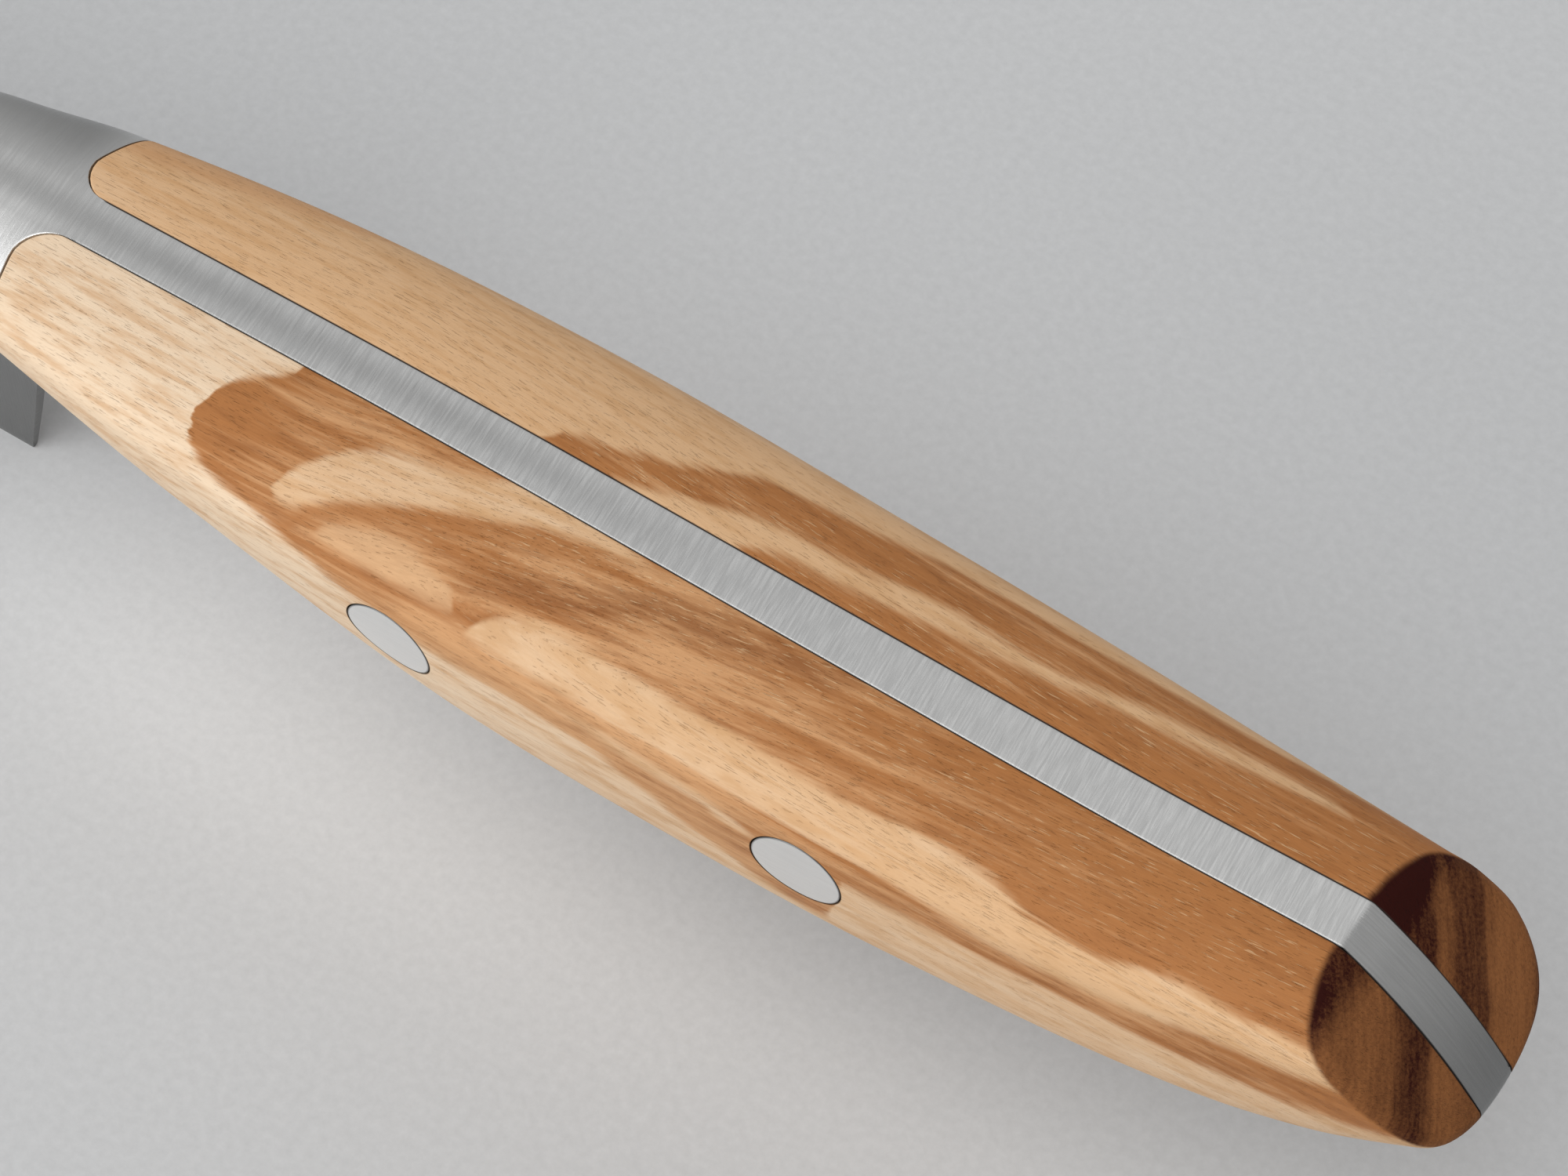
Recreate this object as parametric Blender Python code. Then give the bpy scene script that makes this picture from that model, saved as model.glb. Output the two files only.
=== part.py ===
"""Forged paring knife with a full tang and two riveted wooden scales.

Local frame while modelling: the origin is the corner where the flat top of
the tang meets the butt facet, +X runs to the point, +Y to the left side and
+Z up through the spine. The last step moves the whole knife, so that it
stands on its cutting edge with the middle of its outline over the origin.
"""

import math

import bmesh
import bpy
from mathutils import Vector

MM = 0.001

# Tang and handle
TANG_THICKNESS = 3.0
HALF_TANG = TANG_THICKNESS / 2
CROWN_RISE = 0.04
SHOULDER_EXPONENT = 2.4
FORM_START = -9.5
FORM_END = 104.0
FORM_RINGS = 68
RING_POINTS = 60

# Handle outline: distance from the butt corner, then the size there. The share is
# how much of the depth lies above the widest line. The fullness tells how boxy the
# section's lower half is, full behind and lean in front.
SPINE_HEIGHT = ((-10.0, 0.0), (0.0, 0.0), (11.0, -0.25), (28.0, 0.04), (56.0, 0.54),
                (84.0, 0.07), (94.0, -0.3), (104.0, -1.5))
HALF_WIDTH = ((-9.5, 6.7), (-2.0, 7.35), (15.0, 8.8), (32.0, 9.6), (49.0, 9.85), (66.0, 9.0),
              (80.0, 7.2), (84.9, 6.1), (88.3, 5.4), (93.0, 3.9), (99.0, 1.6), (104.0, 0.7))
HANDLE_DEPTH = ((-9.5, 7.9), (-8.8, 8.4), (-7.0, 9.6), (-4.0, 11.2), (-1.0, 12.4), (6.0, 14.05),
                (15.0, 15.6), (32.0, 17.9), (49.0, 17.9), (66.0, 14.7), (84.0, 10.7), (94.0, 10.4),
                (104.0, 9.6))
SHOULDER_SHARE = ((-9.5, 0.27), (5.0, 0.25), (26.0, 0.24), (50.0, 0.22), (84.0, 0.23),
                  (104.0, 0.29))
BELLY_FULLNESS = ((-9.5, 2.0), (-6.0, 2.5), (-2.0, 3.2), (4.0, 3.9), (20.0, 2.9), (35.0, 2.05),
                  (50.0, 1.7), (66.0, 1.05), (84.0, 0.6), (104.0, 0.9))
BELLY_HALF_WIDTH = 1.3
BELLY_EXPONENT = 10

# Butt facet, a flat cut that is domed afterwards
FACET_RUN = 8.85
FACET_DROP = 8.4
FACET_BULGE = 0.7
FACET_BORDER_BULGE = 0.2
FACET_HALF_WIDTH = 7.3
FACET_STEPS = 8
FACET_LINES = (0.8, 2.4, 4.0, 5.6)
FACET_SEARCH_STEPS = 40
WOOD_EDGE_ROUND = 0.6
STEEL_EDGE_ROUND = 0.12
ROUND_SEGMENTS = 3

# Scale front, where the wood is let into the bolster
SCALE_FRONT = 79.7
FRONT_FILLET = 2.2
FRONT_SLANT = 2.5
FRONT_GAP = 0.15
FILLET_STEPS = 10
CUTTER_REACH = 30.0

# Rivets
RIVET_PLACES = ((51.4, -5.9), (26.5, -6.5))
HEAD_RADIUS = 2.6
HEAD_SEAT = 5.0
TUBE_RADIUS = 1.7
PIN_RADIUS = 1.0
HEAD_CLEARANCE = 0.1
SEAT_CLEARANCE = 0.1
SHANK_CLEARANCE = 0.15
PIN_CLEARANCE = 0.1
TUBE_END_CLEARANCE = 0.4
RIVET_REACH = 13.0
ROUND_STEPS = 40

# Blade
HEEL_DEPTH = 26.0
HEEL_X = 85.2
POINT_X = 176.2
POINT_RISE = 8.0
BELLY_START_X = 128.0
BELLY_POWER = 2.2
POINT_BLUNT = 0.4
BLADE_SPINE_START_X = 101.0
BLADE_SPINE_START_Z = -1.1
BLADE_SPINE_POWER = 1.9
BLADE_ROOT = ((92.0, -3.0), (86.0, -5.0), (82.3, -9.0), (82.4, -12.0), (82.8, -15.5),
              (83.5, -18.3), (84.3, -22.0), (85.1, -25.5))
EDGE_HALF_THICKNESS = 0.24
GRIND_PER_HEIGHT = 0.026
GRIND_PER_LENGTH = 0.0012
EDGE_FLAT_HALF = 0.15
BLADE_STEPS = 40
FLAT_ANGLE = 1e-4


def smooth_value(knots, at):
    """Read a table of (place, size) knots with a smooth curve through them."""
    places = [knot[0] for knot in knots]
    sizes = [knot[1] for knot in knots]
    last = len(knots) - 1
    if at <= places[0]:
        return sizes[0]
    if at >= places[last]:
        return sizes[last]
    slopes = []
    for i in range(last + 1):
        before = max(i - 1, 0)
        after = min(i + 1, last)
        slopes.append((sizes[after] - sizes[before]) / (places[after] - places[before]))
    i = max(k for k in range(last) if places[k] <= at)
    span = places[i + 1] - places[i]
    t = (at - places[i]) / span
    start = (2 * t**3 - 3 * t**2 + 1) * sizes[i] + (t**3 - 2 * t**2 + t) * span * slopes[i]
    end = (3 * t**2 - 2 * t**3) * sizes[i + 1] + (t**3 - t**2) * span * slopes[i + 1]
    return start + end


def section_point(x, angle):
    """One point of the handle's cross-section, flat on top where the tang shows."""
    top = smooth_value(SPINE_HEIGHT, x)
    depth = smooth_value(HANDLE_DEPTH, x) + top + CROWN_RISE
    shoulder = smooth_value(SHOULDER_SHARE, x) * depth
    widest_z = top + CROWN_RISE - shoulder
    widest = smooth_value(HALF_WIDTH, x)
    cosine = math.cos(angle)
    across = abs(cosine)
    down = abs(math.sin(angle))
    if angle < math.pi:
        y = widest * across ** (2 / SHOULDER_EXPONENT)
        z = widest_z + shoulder * down ** (2 / SHOULDER_EXPONENT)
    else:
        belly = min(BELLY_HALF_WIDTH, widest) * math.sqrt(1 - down**BELLY_EXPONENT)
        lean = max(widest - BELLY_HALF_WIDTH, 0.0)
        y = belly + lean * across ** (2 / smooth_value(BELLY_FULLNESS, x))
        z = widest_z - (depth - shoulder) * down
    return Vector((x, math.copysign(y, cosine), min(z, top)))


def link(obj, collection):
    """Put an object in one collection."""
    collection.objects.link(obj)
    return obj


def facet_place(angle):
    """Where the line along the handle at this angle meets the plane of the butt facet."""
    behind = FORM_START
    ahead = FACET_RUN
    for _ in range(FACET_SEARCH_STEPS):
        middle = (behind + ahead) / 2
        if section_point(middle, angle).z * FACET_RUN > middle * FACET_DROP:
            behind = middle
        else:
            ahead = middle
    return (behind + ahead) / 2


def facet_faces(bm, out):
    """The faces that lie in the plane of the butt facet."""
    return [face for face in bm.faces if all(abs(vert.co.dot(out)) < 1e-8 for vert in face.verts)]


def dome_facet(bm, edge_round):
    """Push the flat butt facet out into a slight dome, fading out over its rounded edge."""
    chord = math.hypot(FACET_RUN, FACET_DROP)
    down = Vector((-FACET_RUN, 0.0, -FACET_DROP)) / chord
    out = Vector((-FACET_DROP, 0.0, FACET_RUN)) / chord
    across = Vector((0.0, 1.0, 0.0))
    cuts = [(down * chord * i / FACET_STEPS, down) for i in range(1, FACET_STEPS)]
    cuts += [(across * side * line, across) for line in FACET_LINES for side in (-1, 1)]
    for place, normal in cuts:
        flat = facet_faces(bm, out)
        around = {edge for face in flat for edge in face.edges}
        corners = {vert for face in flat for vert in face.verts}
        bmesh.ops.bisect_plane(
            bm,
            geom=flat + list(around) + list(corners),
            dist=1e-7,
            plane_co=place * MM,
            plane_no=normal,
        )
    bmesh.ops.triangulate(bm, faces=facet_faces(bm, out))
    for vert in bm.verts:
        share = vert.co.dot(down) / (chord * MM)
        near = 1 - abs(vert.co.dot(out)) / (edge_round * MM)
        if 0 < share < 1 and near > 0:
            side_share = min(abs(vert.co.y) / (FACET_HALF_WIDTH * MM), 1.0)
            rise = FACET_BULGE + (FACET_BORDER_BULGE - FACET_BULGE) * side_share**2
            vert.co += 4 * rise * MM * share * (1 - share) * near * out


def handle_form_mesh(name, edge_round):
    """Loft the handle's outer shape, from the butt facet to the front of the bolster."""
    mesh = bpy.data.meshes.new(name)
    bm = bmesh.new()
    angles = [2 * math.pi * (k + 0.5) / RING_POINTS for k in range(RING_POINTS)]
    starts = [facet_place(angle) for angle in angles]
    rings = []
    for i in range(FORM_RINGS):
        share = i / (FORM_RINGS - 1)
        ring = []
        for angle, start in zip(angles, starts):
            x = start + (FORM_END - start) * share
            ring.append(bm.verts.new(section_point(x, angle) * MM))
        rings.append(ring)
    for near, far in zip(rings, rings[1:]):
        for k in range(RING_POINTS):
            after = (k + 1) % RING_POINTS
            bm.faces.new((near[k], near[after], far[after], far[k]))
    facet = bm.faces.new(rings[0])
    bm.faces.new(rings[-1])
    bmesh.ops.recalc_face_normals(bm, faces=bm.faces)
    bmesh.ops.bevel(
        bm,
        geom=list(facet.edges),
        offset=edge_round * MM,
        offset_type="OFFSET",
        segments=ROUND_SEGMENTS,
        profile=0.5,
        affect="EDGES",
        clamp_overlap=True,
        material=-1,
    )
    dome_facet(bm, edge_round)
    bmesh.ops.remove_doubles(bm, verts=bm.verts, dist=1e-7)
    bmesh.ops.recalc_face_normals(bm, faces=bm.faces)
    bm.to_mesh(mesh)
    bm.free()
    return mesh


def outline_mesh(name, points, half_depth):
    """Turn a flat closed outline into a plate of twice the half depth."""
    curve = bpy.data.curves.new(name, "CURVE")
    curve.dimensions = "2D"
    curve.fill_mode = "BOTH"
    curve.extrude = half_depth * MM
    spline = curve.splines.new("POLY")
    spline.points.add(len(points) - 1)
    for place, (u, v) in zip(spline.points, points):
        place.co = (u * MM, v * MM, 0.0, 1.0)
    spline.use_cyclic_u = True
    outline = bpy.data.objects.new(name, curve)
    mesh = bpy.data.meshes.new_from_object(outline)
    bpy.data.objects.remove(outline)
    bpy.data.curves.remove(curve)
    bm = bmesh.new()
    bm.from_mesh(mesh)
    bmesh.ops.remove_doubles(bm, verts=bm.verts, dist=1e-7)
    bmesh.ops.recalc_face_normals(bm, faces=bm.faces)
    bm.to_mesh(mesh)
    bm.free()
    return mesh


def turned_mesh(name, profile, x, z, side):
    """Turn a closed profile of (radius, distance from the middle) points about a rivet's axis."""
    mesh = bpy.data.meshes.new(name)
    bm = bmesh.new()
    corners = [bm.verts.new((radius * MM, distance * MM, 0.0)) for radius, distance in profile]
    loop = [bm.edges.new((a, b)) for a, b in zip(corners, corners[1:])]
    bmesh.ops.spin(
        bm,
        geom=corners + loop,
        axis=(0.0, 1.0, 0.0),
        cent=(0.0, 0.0, 0.0),
        angle=2 * math.pi,
        steps=ROUND_STEPS,
        use_merge=True,
    )
    bmesh.ops.remove_doubles(bm, verts=bm.verts, dist=1e-7)
    bmesh.ops.scale(bm, vec=(1.0, side, 1.0), verts=bm.verts)
    bmesh.ops.translate(bm, vec=(x * MM, 0.0, z * MM), verts=bm.verts)
    bmesh.ops.recalc_face_normals(bm, faces=bm.faces)
    bm.to_mesh(mesh)
    bm.free()
    return mesh


def boolean(obj, operation, cutter):
    """Join, cut or trim one object with another."""
    modifier = obj.modifiers.new(cutter.name, "BOOLEAN")
    modifier.operation = operation
    modifier.solver = "EXACT"
    modifier.object = cutter


def pocket_outline(side, gap):
    """Plan view of the room beside the tang, with the fillet at the bolster."""
    centre_x = SCALE_FRONT - FRONT_FILLET + gap
    centre_y = HALF_TANG + FRONT_FILLET
    points = [(-CUTTER_REACH, HALF_TANG)]
    for i in range(FILLET_STEPS + 1):
        angle = math.pi / 2 * i / FILLET_STEPS
        x = centre_x + FRONT_FILLET * math.sin(angle)
        y = centre_y - FRONT_FILLET * math.cos(angle)
        points.append((x, y))
    points.append((SCALE_FRONT + gap - FRONT_SLANT, CUTTER_REACH / 2))
    points.append((-CUTTER_REACH, CUTTER_REACH / 2))
    return [(x, side * y) for x, y in points]


def blade_edge_z(x):
    """Height of the cutting edge, straight from the heel and curved up to the point."""
    share = max(x - BELLY_START_X, 0.0) / (POINT_X - BELLY_START_X)
    return POINT_RISE * share**BELLY_POWER - HEEL_DEPTH


def blade_spine_z(x):
    """Height of the blade's back, which drops to the point."""
    share = max(x - BLADE_SPINE_START_X, 0.0) / (POINT_X - BLADE_SPINE_START_X)
    drop = POINT_RISE + POINT_BLUNT - HEEL_DEPTH - BLADE_SPINE_START_Z
    return BLADE_SPINE_START_Z + drop * share**BLADE_SPINE_POWER


def blade_mesh(name):
    """Loft the blade from its root in the bolster to the point.

    Both sides are flat and lean in towards the edge and the point. Each row of points
    starts at the root line, and the lowest row is the edge below its sharpened bevel.
    """
    root = ((BLADE_SPINE_START_X, BLADE_SPINE_START_Z), *BLADE_ROOT, (HEEL_X, -HEEL_DEPTH))
    depth = HEEL_DEPTH + BLADE_SPINE_START_Z
    mesh = bpy.data.meshes.new(name)
    bm = bmesh.new()
    rings = []
    for i in range(BLADE_STEPS + 1):
        left = []
        for start, root_z in root:
            x = start + (POINT_X - start) * i / BLADE_STEPS
            share = (BLADE_SPINE_START_Z - root_z) / depth
            z = blade_spine_z(x) * (1 - share) + blade_edge_z(x) * share
            height = z + HEEL_DEPTH
            half = EDGE_HALF_THICKNESS + GRIND_PER_HEIGHT * height - GRIND_PER_LENGTH * (x - HEEL_X)
            left.append(Vector((x, half, z)))
        left[-1].y = EDGE_FLAT_HALF
        right = [Vector((place.x, -place.y, place.z)) for place in reversed(left)]
        rings.append([bm.verts.new(place * MM) for place in left + right])
    around = len(rings[0])
    for near, far in zip(rings, rings[1:]):
        for k in range(around):
            after = (k + 1) % around
            bm.faces.new((near[k], near[after], far[after], far[k]))
    for ring in (rings[0], rings[-1]):
        for k in range(around // 2 - 1):
            bm.faces.new((ring[k], ring[k + 1], ring[around - k - 2], ring[around - k - 1]))
    bmesh.ops.recalc_face_normals(bm, faces=bm.faces)
    bmesh.ops.dissolve_limit(bm, angle_limit=FLAT_ANGLE, verts=bm.verts, edges=bm.edges)
    bm.to_mesh(mesh)
    bm.free()
    return mesh


def material(name, colour, roughness, metallic):
    """A plain surface for one kind of stuff."""
    made = bpy.data.materials.new(name)
    made.use_nodes = True
    shader = made.node_tree.nodes["Principled BSDF"]
    shader.inputs["Base Color"].default_value = (*colour, 1.0)
    shader.inputs["Roughness"].default_value = roughness
    shader.inputs["Metallic"].default_value = metallic
    return made


def finish_part(obj, surface):
    """Give a part its material and smooth faces."""
    obj.data.materials.clear()
    obj.data.materials.append(surface)
    for face in obj.data.polygons:
        face.use_smooth = True


def main():
    for leftover in list(bpy.data.objects):
        bpy.data.objects.remove(leftover)
    knife = bpy.data.collections.new("paring_knife")
    cutters = bpy.data.collections.new("cutters")
    bpy.context.scene.collection.children.link(knife)
    bpy.context.scene.collection.children.link(cutters)

    def cutter(name, mesh):
        obj = link(bpy.data.objects.new(name, mesh), cutters)
        obj.hide_render = True
        obj.display_type = "WIRE"
        return obj

    # Shapes that cut and trim the parts
    form = cutter("handle_form", handle_form_mesh("handle_form", WOOD_EDGE_ROUND))
    blade = cutter("blade", blade_mesh("blade"))

    # Forging: blade, bolster and tang in one piece
    forging_mesh = handle_form_mesh("blade_forging", STEEL_EDGE_ROUND)
    forging = link(bpy.data.objects.new("blade_forging", forging_mesh), knife)
    for side, label in ((1, "left"), (-1, "right")):
        name = f"{label}_pocket"
        pocket = cutter(name, outline_mesh(name, pocket_outline(side, FRONT_GAP), CUTTER_REACH))
        boolean(forging, "DIFFERENCE", pocket)
    shank_hole_radius = TUBE_RADIUS + SHANK_CLEARANCE
    for number, (x, z) in enumerate(RIVET_PLACES, start=1):
        profile = (
            (0.0, -RIVET_REACH),
            (shank_hole_radius, -RIVET_REACH),
            (shank_hole_radius, RIVET_REACH),
            (0.0, RIVET_REACH),
        )
        name = f"shank_bore_{number}"
        bore = cutter(name, turned_mesh(name, profile, x, z, 1))
        boolean(forging, "DIFFERENCE", bore)
    boolean(forging, "UNION", blade)

    # Two scales of olive wood
    scales = []
    for side, label in ((1, "left"), (-1, "right")):
        name = f"{label}_scale"
        scale = link(bpy.data.objects.new(name, handle_form_mesh(name, WOOD_EDGE_ROUND)), knife)
        room_name = f"{label}_scale_room"
        room = cutter(room_name, outline_mesh(room_name, pocket_outline(side, 0.0), CUTTER_REACH))
        boolean(scale, "INTERSECT", room)
        for number, (x, z) in enumerate(RIVET_PLACES, start=1):
            head_hole = HEAD_RADIUS + HEAD_CLEARANCE
            profile = (
                (0.0, 0.0),
                (shank_hole_radius, 0.0),
                (shank_hole_radius, HEAD_SEAT - SEAT_CLEARANCE),
                (head_hole, HEAD_SEAT - SEAT_CLEARANCE),
                (head_hole, RIVET_REACH),
                (0.0, RIVET_REACH),
            )
            hole_name = f"{label}_rivet_hole_{number}"
            hole = cutter(hole_name, turned_mesh(hole_name, profile, x, z, side))
            boolean(scale, "DIFFERENCE", hole)
        scales.append(scale)

    # Two cutlery rivets, each a tube half and a pin half pressed together
    tube_reach = HEAD_SEAT - TUBE_END_CLEARANCE
    bore_radius = PIN_RADIUS + PIN_CLEARANCE
    pin_reach = HEAD_SEAT - 2 * TUBE_END_CLEARANCE
    rivets = []
    for number, (x, z) in enumerate(RIVET_PLACES, start=1):
        tube_profile = (
            (0.0, HEAD_SEAT),
            (bore_radius, HEAD_SEAT),
            (bore_radius, -tube_reach),
            (TUBE_RADIUS, -tube_reach),
            (TUBE_RADIUS, HEAD_SEAT),
            (HEAD_RADIUS, HEAD_SEAT),
            (HEAD_RADIUS, RIVET_REACH),
            (0.0, RIVET_REACH),
        )
        pin_profile = (
            (0.0, -pin_reach),
            (PIN_RADIUS, -pin_reach),
            (PIN_RADIUS, HEAD_SEAT),
            (HEAD_RADIUS, HEAD_SEAT),
            (HEAD_RADIUS, RIVET_REACH),
            (0.0, RIVET_REACH),
        )
        for name, profile, side in (
            (f"rivet_{number}_tube_half", tube_profile, 1),
            (f"rivet_{number}_pin_half", pin_profile, -1),
        ):
            rivet = link(bpy.data.objects.new(name, turned_mesh(name, profile, x, z, side)), knife)
            boolean(rivet, "INTERSECT", form)
            rivets.append(rivet)

    finish_part(forging, material("satin_steel", (0.60, 0.60, 0.60), 0.32, 1.0))
    for scale, label in zip(scales, ("left", "right")):
        finish_part(scale, material(f"olive_wood_{label}", (0.62, 0.38, 0.19), 0.45, 0.0))
    for rivet in rivets:
        finish_part(rivet, material(f"{rivet.name}_steel", (0.72, 0.72, 0.70), 0.35, 1.0))

    stand_on_edge(knife, cutters)


def stand_on_edge(knife, cutters):
    """Move the knife so that it stands on its edge, centred over the origin."""
    bpy.context.view_layer.update()
    depsgraph = bpy.context.evaluated_depsgraph_get()
    corners = []
    for part in knife.objects:
        finished = part.evaluated_get(depsgraph)
        corners.extend(finished.matrix_world @ vert.co for vert in finished.data.vertices)
    low_x = min(corner.x for corner in corners)
    high_x = max(corner.x for corner in corners)
    low_z = min(corner.z for corner in corners)
    stand = bpy.data.objects.new("stand", None)
    knife.objects.link(stand)
    for obj in list(knife.objects) + list(cutters.objects):
        if obj is not stand:
            obj.parent = stand
    stand.location = (-(low_x + high_x) / 2, 0.0, -low_z)
    bpy.context.view_layer.update()


main()
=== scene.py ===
"""Looks of a forged paring knife with olive wood scales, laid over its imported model."""

import math

import bmesh
import bpy
from mathutils import Matrix, Vector


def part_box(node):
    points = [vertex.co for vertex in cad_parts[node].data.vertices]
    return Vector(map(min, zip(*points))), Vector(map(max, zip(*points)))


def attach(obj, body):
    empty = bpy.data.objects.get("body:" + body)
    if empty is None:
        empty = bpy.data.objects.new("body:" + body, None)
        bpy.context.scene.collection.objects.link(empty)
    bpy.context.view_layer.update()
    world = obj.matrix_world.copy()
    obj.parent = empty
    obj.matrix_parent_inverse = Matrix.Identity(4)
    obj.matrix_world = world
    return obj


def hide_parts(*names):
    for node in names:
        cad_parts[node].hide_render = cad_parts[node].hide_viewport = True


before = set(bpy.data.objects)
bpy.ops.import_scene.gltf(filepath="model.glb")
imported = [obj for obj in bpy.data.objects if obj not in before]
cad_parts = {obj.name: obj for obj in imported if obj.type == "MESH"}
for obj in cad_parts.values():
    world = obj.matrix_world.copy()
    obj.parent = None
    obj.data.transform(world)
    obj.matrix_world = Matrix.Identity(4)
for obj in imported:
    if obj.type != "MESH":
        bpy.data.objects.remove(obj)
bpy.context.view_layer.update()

MM = 0.001

# Handle form, in millimetres from the corner where the top of the tang meets the butt
HALF_TANG = 1.5
CROWN_RISE = 0.04
SHOULDER_EXPONENT = 2.4
FORM_START = -9.5
FORM_END = 104.0
SPINE_HEIGHT = ((-10.0, 0.0), (0.0, 0.0), (11.0, -0.25), (28.0, 0.04), (56.0, 0.54),
                (84.0, 0.07), (94.0, -0.3), (104.0, -1.5))
HALF_WIDTH = ((-9.5, 6.7), (-2.0, 7.35), (15.0, 8.8), (32.0, 9.6), (49.0, 9.85), (66.0, 9.0),
              (80.0, 7.2), (84.9, 6.1), (88.3, 5.4), (93.0, 3.9), (99.0, 1.6), (104.0, 0.7))
HANDLE_DEPTH = ((-9.5, 7.9), (-8.8, 8.4), (-7.0, 9.6), (-4.0, 11.2), (-1.0, 12.4), (6.0, 14.05),
                (15.0, 15.6), (32.0, 17.9), (49.0, 17.9), (66.0, 14.7), (84.0, 10.7), (94.0, 10.4),
                (104.0, 9.6))
SHOULDER_SHARE = ((-9.5, 0.27), (5.0, 0.25), (26.0, 0.24), (50.0, 0.22), (84.0, 0.23),
                  (104.0, 0.29))
BELLY_FULLNESS = ((-9.5, 2.0), (-6.0, 2.5), (-2.0, 3.2), (4.0, 3.9), (20.0, 2.9), (35.0, 2.05),
                  (50.0, 1.7), (66.0, 1.05), (84.0, 0.6), (104.0, 0.9))
BELLY_HALF_WIDTH = 1.3
BELLY_EXPONENT = 10
NARROWS_BELOW = 6.8
MIDDLE_DEPTH = 7.0
SEARCH_STEPS = 26
MERGE_DISTANCE = 2e-4

# Angles, in degrees, above which an edge is shaded crisp
WOOD_CREASE = 32
RIVET_CREASE = 40
STEEL_CREASE = 28

# Butt facet
FACET_RUN = 8.85
FACET_DROP = 8.4
FACET_BULGE = 0.7
FACET_BORDER_BULGE = 0.2
FACET_HALF_WIDTH = 7.3
WOOD_EDGE_ROUND = 0.6
STEEL_EDGE_ROUND = 0.12

# The wood of the butt leans to the right side, most at the facet's lower end
LEAN_REACH = 14.0
LEAN_STARTS = 2.0
LEAN_GROWS_OVER = 5.0
LEFT_LEAN = 0.45
LEFT_LOW_LEAN = 0.15
RIGHT_LOW_LEAN = 0.9

# Scale fronts
SCALE_FRONT = 79.7
FRONT_FILLET = 2.2
FRONT_SLANT = 2.5
SLANT_REACH = 15.0
FRONT_GAP = 0.12
FRONT_SEARCH_FROM = 70.0
FRONT_SEARCH_TO = 84.0

# Depth and width of the broken edges along the joints
TANG_BREAK = (0.07, 0.12)
FRONT_BREAK = (0.06, 0.12)
BOLSTER_BREAK = (0.05, 0.12)
STRIP_BREAK = (0.05, 0.1)
HEAD_BREAK = (0.03, 0.05)

# Rivets
RIVET_PLACES = ((51.4, -5.9), (26.5, -6.5))
HEAD_RADIUS = 2.6
HEAD_SEAT = 5.0
TUBE_RADIUS = 1.7
PIN_RADIUS = 1.0
CLEARANCE = 0.08
BORE_CLEARANCE = 0.1
TUBE_END = -4.6
PIN_END = -4.2
RIVET_REACH = 13.0
RIVET_SIDES = 96
HEAD_RINGS = (0.0, 0.45, 0.9, 1.35, 1.8, 2.2, 2.45, 2.53, 2.57, 2.59, 2.6)

# Tang and bolster
BOLSTER_STEPS = 80
BOLSTER_EDGE = (0.0, 0.02, 0.06, 0.12, 0.2)
TANG_MIDDLE = Vector((40.0, 0.0, -8.0))
BREAK_FADE = 0.4

# Blade
HEEL_DEPTH = 26.0
HEEL_X = 85.2
POINT_X = 176.2
POINT_RISE = 8.0
BELLY_START_X = 128.0
BELLY_POWER = 2.2
POINT_BLUNT = 0.4
BLADE_SPINE_START_X = 101.0
BLADE_SPINE_START_Z = -1.1
BLADE_SPINE_POWER = 1.9
BLADE_ROOT = ((-26.0, 85.2), (-25.5, 85.1), (-22.0, 84.3), (-18.3, 83.5), (-15.5, 82.8),
              (-12.0, 82.4), (-9.0, 82.3), (-5.0, 86.0), (-3.0, 92.0), (-1.1, 101.0))
EDGE_HALF_THICKNESS = 0.24
GRIND_PER_HEIGHT = 0.026
GRIND_PER_LENGTH = 0.0012
EDGE_FLAT_HALF = 0.15
BLADE_COLUMNS = 110

# Rows of the blade's softened back: share of its height, and how far the side falls in
BACK_ROWS = ((0.0, 0.16), (0.003, 0.05), (0.008, 0.012), (0.015, 0.0))
FLAT_ROWS = 30
FLAT_END = 0.98

# Where the bolster blends into the flats of the blade
ROOT_SPAN = (86.0, 106.0)
ROOT_HEIGHTS = (-13.0, -2.2)
ROOT_DEPTHS = (-0.03, 0.9)
ROOT_PASSES = 8

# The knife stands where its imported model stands
forging_low, forging_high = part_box("blade_forging")
CORNER = Vector((forging_high.x - POINT_X * MM, 0.0, forging_low.z + HEEL_DEPTH * MM))


def smooth_value(knots, at):
    """Read a table of (place, size) knots with a smooth curve through them."""
    places = [knot[0] for knot in knots]
    sizes = [knot[1] for knot in knots]
    last = len(knots) - 1
    if at <= places[0]:
        return sizes[0]
    if at >= places[last]:
        return sizes[last]
    i = max(k for k in range(last) if places[k] <= at)
    slopes = []
    for k in (i, i + 1):
        before = max(k - 1, 0)
        after = min(k + 1, last)
        slopes.append((sizes[after] - sizes[before]) / (places[after] - places[before]))
    span = places[i + 1] - places[i]
    t = (at - places[i]) / span
    start = (2 * t**3 - 3 * t**2 + 1) * sizes[i] + (t**3 - 2 * t**2 + t) * span * slopes[0]
    end = (3 * t**2 - 2 * t**3) * sizes[i + 1] + (t**3 - t**2) * span * slopes[1]
    return start + end


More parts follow.
